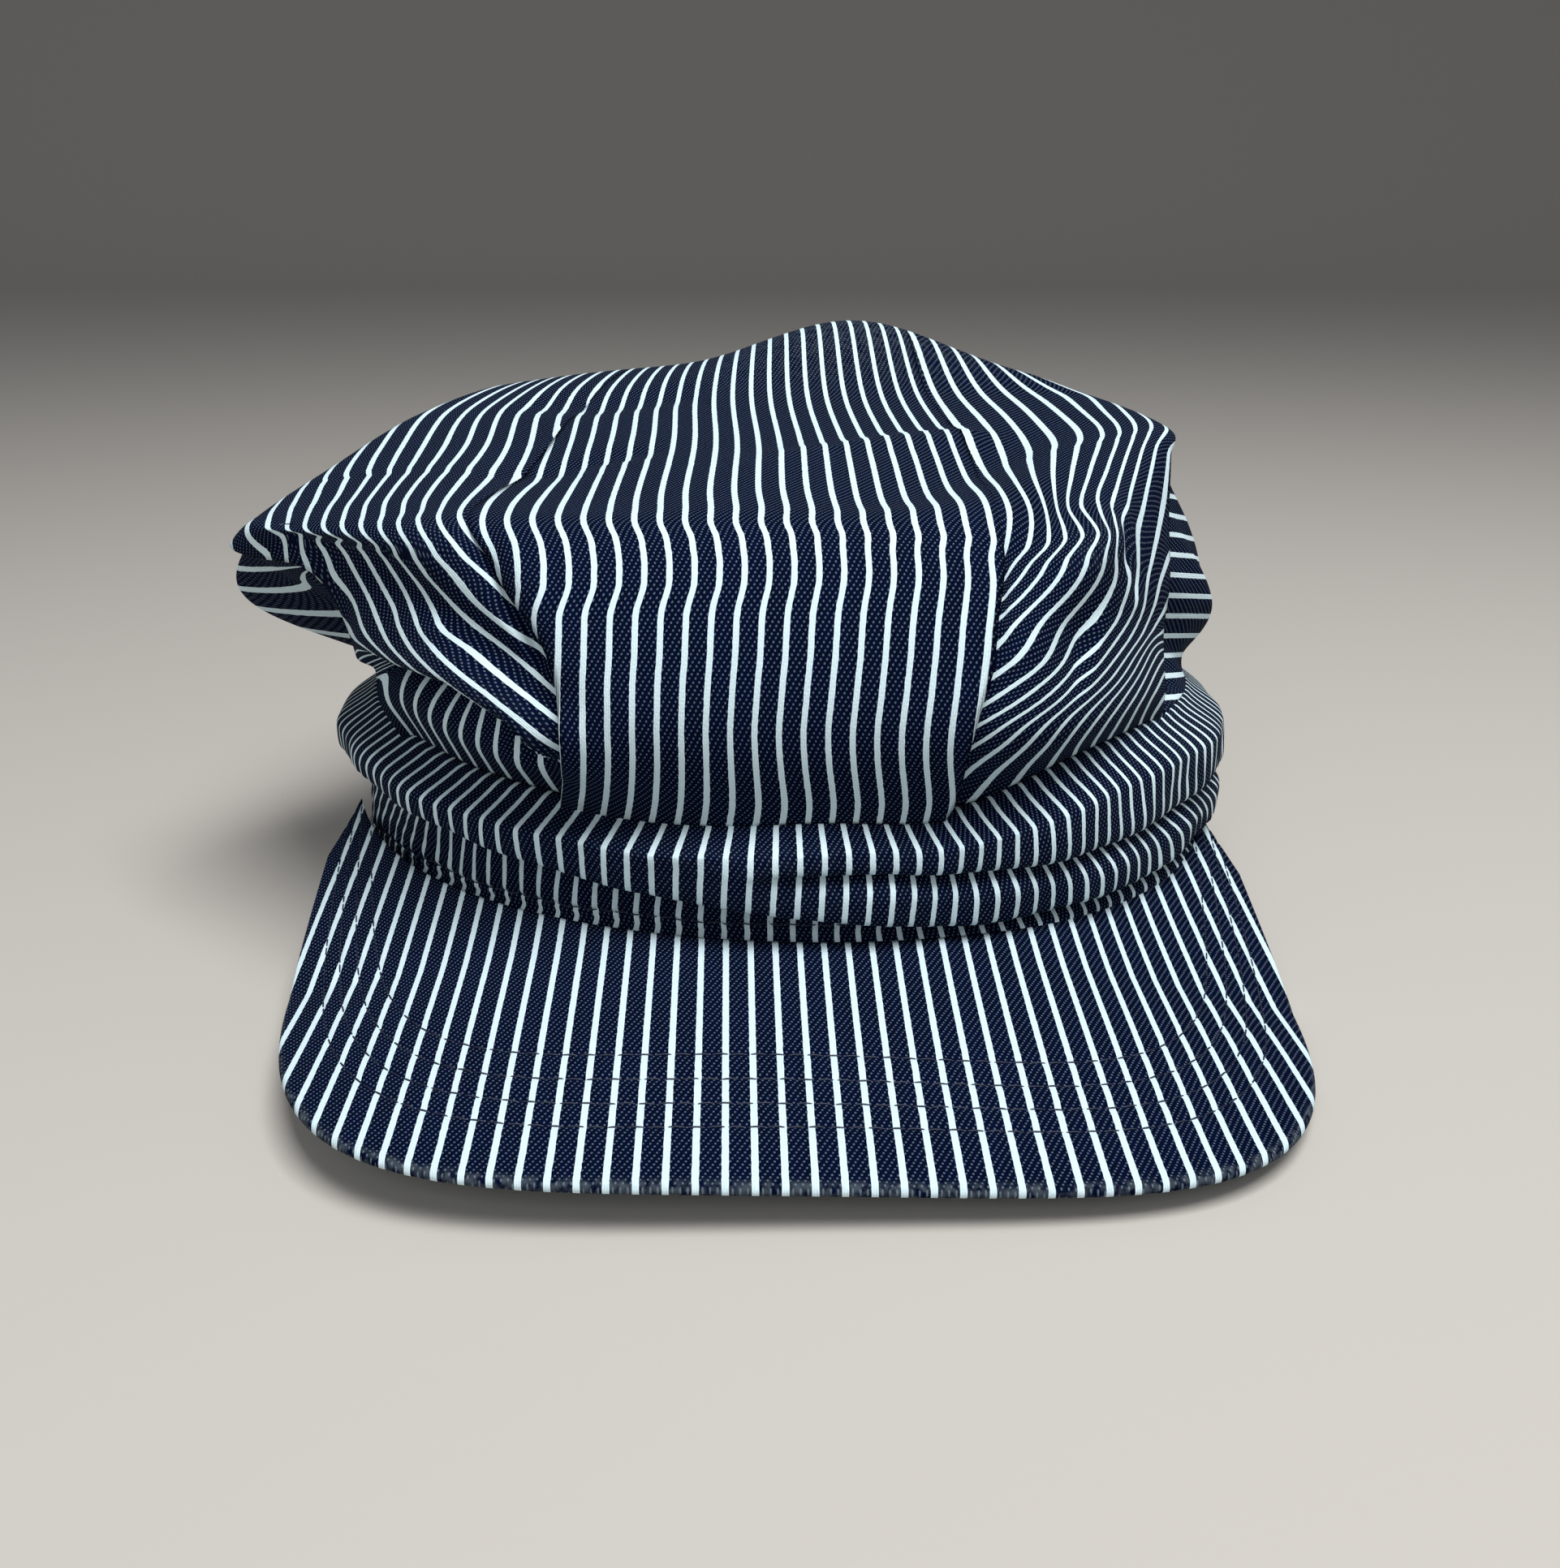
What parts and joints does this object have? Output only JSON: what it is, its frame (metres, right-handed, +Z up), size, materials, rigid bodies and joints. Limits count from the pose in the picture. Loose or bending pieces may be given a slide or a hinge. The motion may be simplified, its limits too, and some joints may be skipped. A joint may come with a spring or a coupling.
{
  "type": "railroad engineer cap",
  "caption": "Soft denim engineer cap with pleated crown, slumped head band and stiff arched visor, resting on visor and rear rim.",
  "frame": {"origin": "on the surface the cap rests on, under the middle of its footprint", "axes": "-Y towards the visor's front edge, +X to the right seen from the front, +Z up"},
  "size_m": [0.2062, 0.2582, 0.1138],
  "materials": {
    "crown_denim": "hickory-stripe denim, white stripes running front to back on navy twill, matte",
    "gusset_denim": "hickory-stripe denim, stripes square to the side seam, matte",
    "band_denim": "hickory-stripe denim, stripes upright, one row of topstitching over the visor seam, matte",
    "visor_denim": "hickory-stripe denim pulled tight over a stiff board, four rows of navy topstitching, matte"
  },
  "bodies": {
    "root": {"crown_panel": "crown_denim", "gusset_left": "gusset_denim", "gusset_right": "gusset_denim", "band": "band_denim", "visor": "visor_denim"}
  },
  "joints": []
}
